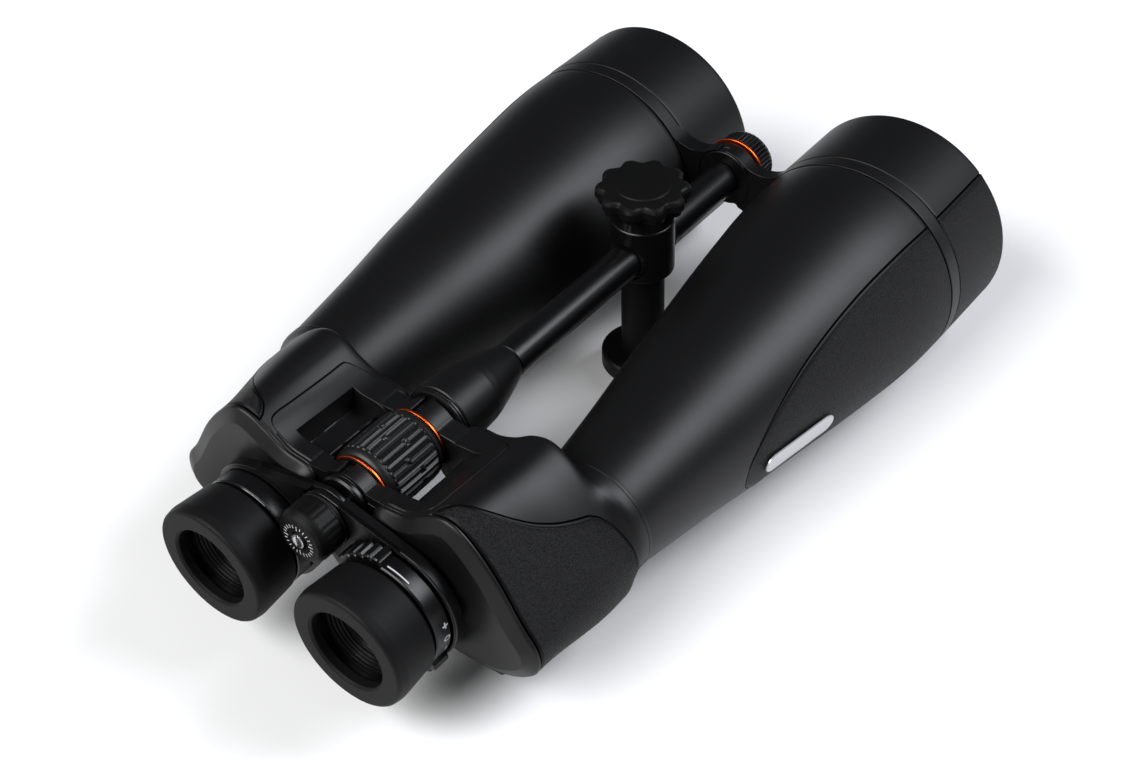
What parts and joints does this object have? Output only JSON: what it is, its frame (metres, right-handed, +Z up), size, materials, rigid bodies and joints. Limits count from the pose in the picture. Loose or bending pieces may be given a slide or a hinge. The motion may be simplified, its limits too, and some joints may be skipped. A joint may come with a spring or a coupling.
{
  "type": "astronomy binoculars",
  "caption": "Large Porro prism binoculars with centre focus, twist-up eyecups, a reinforcing rod and a sliding tripod post.",
  "frame": {"origin": "centre of the bounding box at its bottom, under the hoods", "axes": "+X to the right of a person looking through the eyepieces, +Y from the eyepieces to the objectives, +Z up"},
  "size_m": [0.2306, 0.331, 0.1011],
  "materials": {
    "shell": "satin black",
    "rubber": "pebbled black",
    "eyecup_rubber": "soft matt black",
    "black_metal": "black anodised",
    "orange_metal": "orange anodised",
    "silver": "brushed silver",
    "steel": "plain",
    "brass": "turned",
    "coated_glass": "multicoated, magenta tint",
    "prism_glass": "polished"
  },
  "bodies": {
    "spine": {"hinge_rod": "black_metal", "hub_spacer": "black_metal", "cone_sleeve": "shell", "front_ring": "orange_metal", "front_cap": "black_metal"},
    "right_half": {"right_prism_housing": "shell", "right_rear_cover": "shell", "right_rear_prism": "prism_glass", "right_front_prism": "prism_glass", "right_housing_grip": "rubber", "right_strap_lug": "shell", "right_barrel": "shell", "right_barrel_grip": "rubber", "right_front_bridge": "shell", "right_hood": "shell", "right_objective_cell": "black_metal", "right_objective_lens": "coated_glass", "right_retaining_ring": "black_metal", "right_badge": "silver"},
    "left_half": {"left_prism_housing": "shell", "left_rear_cover": "shell", "left_rear_prism": "prism_glass", "left_front_prism": "prism_glass", "left_housing_grip": "rubber", "left_strap_lug": "shell", "left_barrel": "shell", "left_barrel_grip": "rubber", "left_front_bridge": "shell", "left_hood": "shell", "left_objective_cell": "black_metal", "left_objective_lens": "coated_glass", "left_retaining_ring": "black_metal"},
    "right_arm": {"right_eyepiece_arm": "black_metal"},
    "right_ocular": {"right_ocular_tube": "black_metal", "right_eye_lens": "coated_glass", "right_field_lens": "coated_glass"},
    "right_dioptre": {"right_dioptre_ring": "black_metal"},
    "right_sleeve": {"right_twist_sleeve": "black_metal"},
    "right_cup": {"right_eyecup": "eyecup_rubber"},
    "left_arm": {"left_eyepiece_arm": "black_metal", "left_ocular_collar": "black_metal", "left_ocular_tube": "black_metal", "left_eye_lens": "coated_glass", "left_field_lens": "coated_glass"},
    "left_sleeve": {"left_twist_sleeve": "black_metal"},
    "left_cup": {"left_eyecup": "eyecup_rubber"},
    "wheel": {"focus_wheel": "black_metal", "rear_wheel_ring": "orange_metal", "front_wheel_ring": "orange_metal"},
    "spindle": {"focus_spindle": "steel", "scale_cap": "black_metal", "cap_screw": "steel"},
    "clamp_liner": {"clamp_bushing": "black_metal"},
    "tripod_post": {"clamp_body": "black_metal", "post": "black_metal", "foot": "shell"},
    "shoe": {"pressure_shoe": "brass"},
    "knob": {"clamp_knob": "rubber"}
  },
  "joints": [
    {"name": "right_fold", "type": "hinge", "parent": "spine", "child": "right_half", "pos_m": [0, 0, 0.0687], "axis": [0, 1, 0], "range_deg": [-8, 11]},
    {"name": "left_fold", "type": "hinge", "parent": "spine", "child": "left_half", "pos_m": [0, 0, 0.0687], "axis": [0, 1, 0], "range_deg": [-11, 8]},
    {"name": "focus_turn", "type": "hinge", "parent": "spine", "child": "wheel", "pos_m": [0, -0.1015, 0.0687], "axis": [0, 1, 0], "range_deg": [-300, 50]},
    {"name": "spindle_slide", "type": "slide", "parent": "spine", "child": "spindle", "axis": [0, 1, 0], "range_m": [-0.006, 0.001]},
    {"name": "right_arm_slide", "type": "slide", "parent": "right_half", "child": "right_arm", "axis": [0, 1, 0], "range_m": [-0.006, 0.001]},
    {"name": "left_arm_slide", "type": "slide", "parent": "left_half", "child": "left_arm", "axis": [0, 1, 0], "range_m": [-0.006, 0.001]},
    {"name": "dioptre_turn", "type": "hinge", "parent": "right_arm", "child": "right_dioptre", "pos_m": [0.03325, -0.1405, 0.047], "axis": [0, 1, 0], "range_deg": [-45, 45]},
    {"name": "dioptre_slide", "type": "slide", "parent": "right_arm", "child": "right_ocular", "axis": [0, 1, 0], "range_m": [-0.001, 0.001]},
    {"name": "right_cup_twist", "type": "hinge", "parent": "right_ocular", "child": "right_sleeve", "pos_m": [0.03325, -0.1535, 0.047], "axis": [0, -1, 0], "range_deg": [0, 120]},
    {"name": "right_cup_slide", "type": "slide", "parent": "right_sleeve", "child": "right_cup", "axis": [0, -1, 0], "range_m": [0, 0.008]},
    {"name": "left_cup_twist", "type": "hinge", "parent": "left_arm", "child": "left_sleeve", "pos_m": [-0.03325, -0.1535, 0.047], "axis": [0, -1, 0], "range_deg": [0, 120]},
    {"name": "left_cup_slide", "type": "slide", "parent": "left_sleeve", "child": "left_cup", "axis": [0, -1, 0], "range_m": [0, 0.008]},
    {"name": "clamp_slide", "type": "slide", "parent": "spine", "child": "clamp_liner", "axis": [0, 1, 0], "range_m": [-0.07, 0.005]},
    {"name": "post_swing", "type": "hinge", "parent": "clamp_liner", "child": "tripod_post", "pos_m": [0, 0.0583, 0.0687], "axis": [0, 1, 0], "range_deg": [-3, 3]},
    {"name": "shoe_slide", "type": "slide", "parent": "tripod_post", "child": "shoe", "axis": [0, 0, 1], "range_m": [0, 0.0019]},
    {"name": "knob_turn", "type": "hinge", "parent": "shoe", "child": "knob", "pos_m": [0, 0.0583, 0.09], "axis": [0, 0, 1], "range_deg": [0, 540]}
  ],
  "couplings": [
    {"joint": "left_fold", "follows": "right_fold", "ratio": -1},
    {"joint": "spindle_slide", "follows": "focus_turn", "m_per_rad": 0.0011459},
    {"joint": "right_arm_slide", "follows": "focus_turn", "m_per_rad": 0.0011459},
    {"joint": "left_arm_slide", "follows": "focus_turn", "m_per_rad": 0.0011459},
    {"joint": "dioptre_slide", "follows": "dioptre_turn", "m_per_rad": 0.001273},
    {"joint": "right_cup_slide", "follows": "right_cup_twist", "m_per_rad": 0.003819},
    {"joint": "left_cup_slide", "follows": "left_cup_twist", "m_per_rad": 0.003819},
    {"joint": "shoe_slide", "follows": "knob_turn", "m_per_rad": 0.000199}
  ]
}
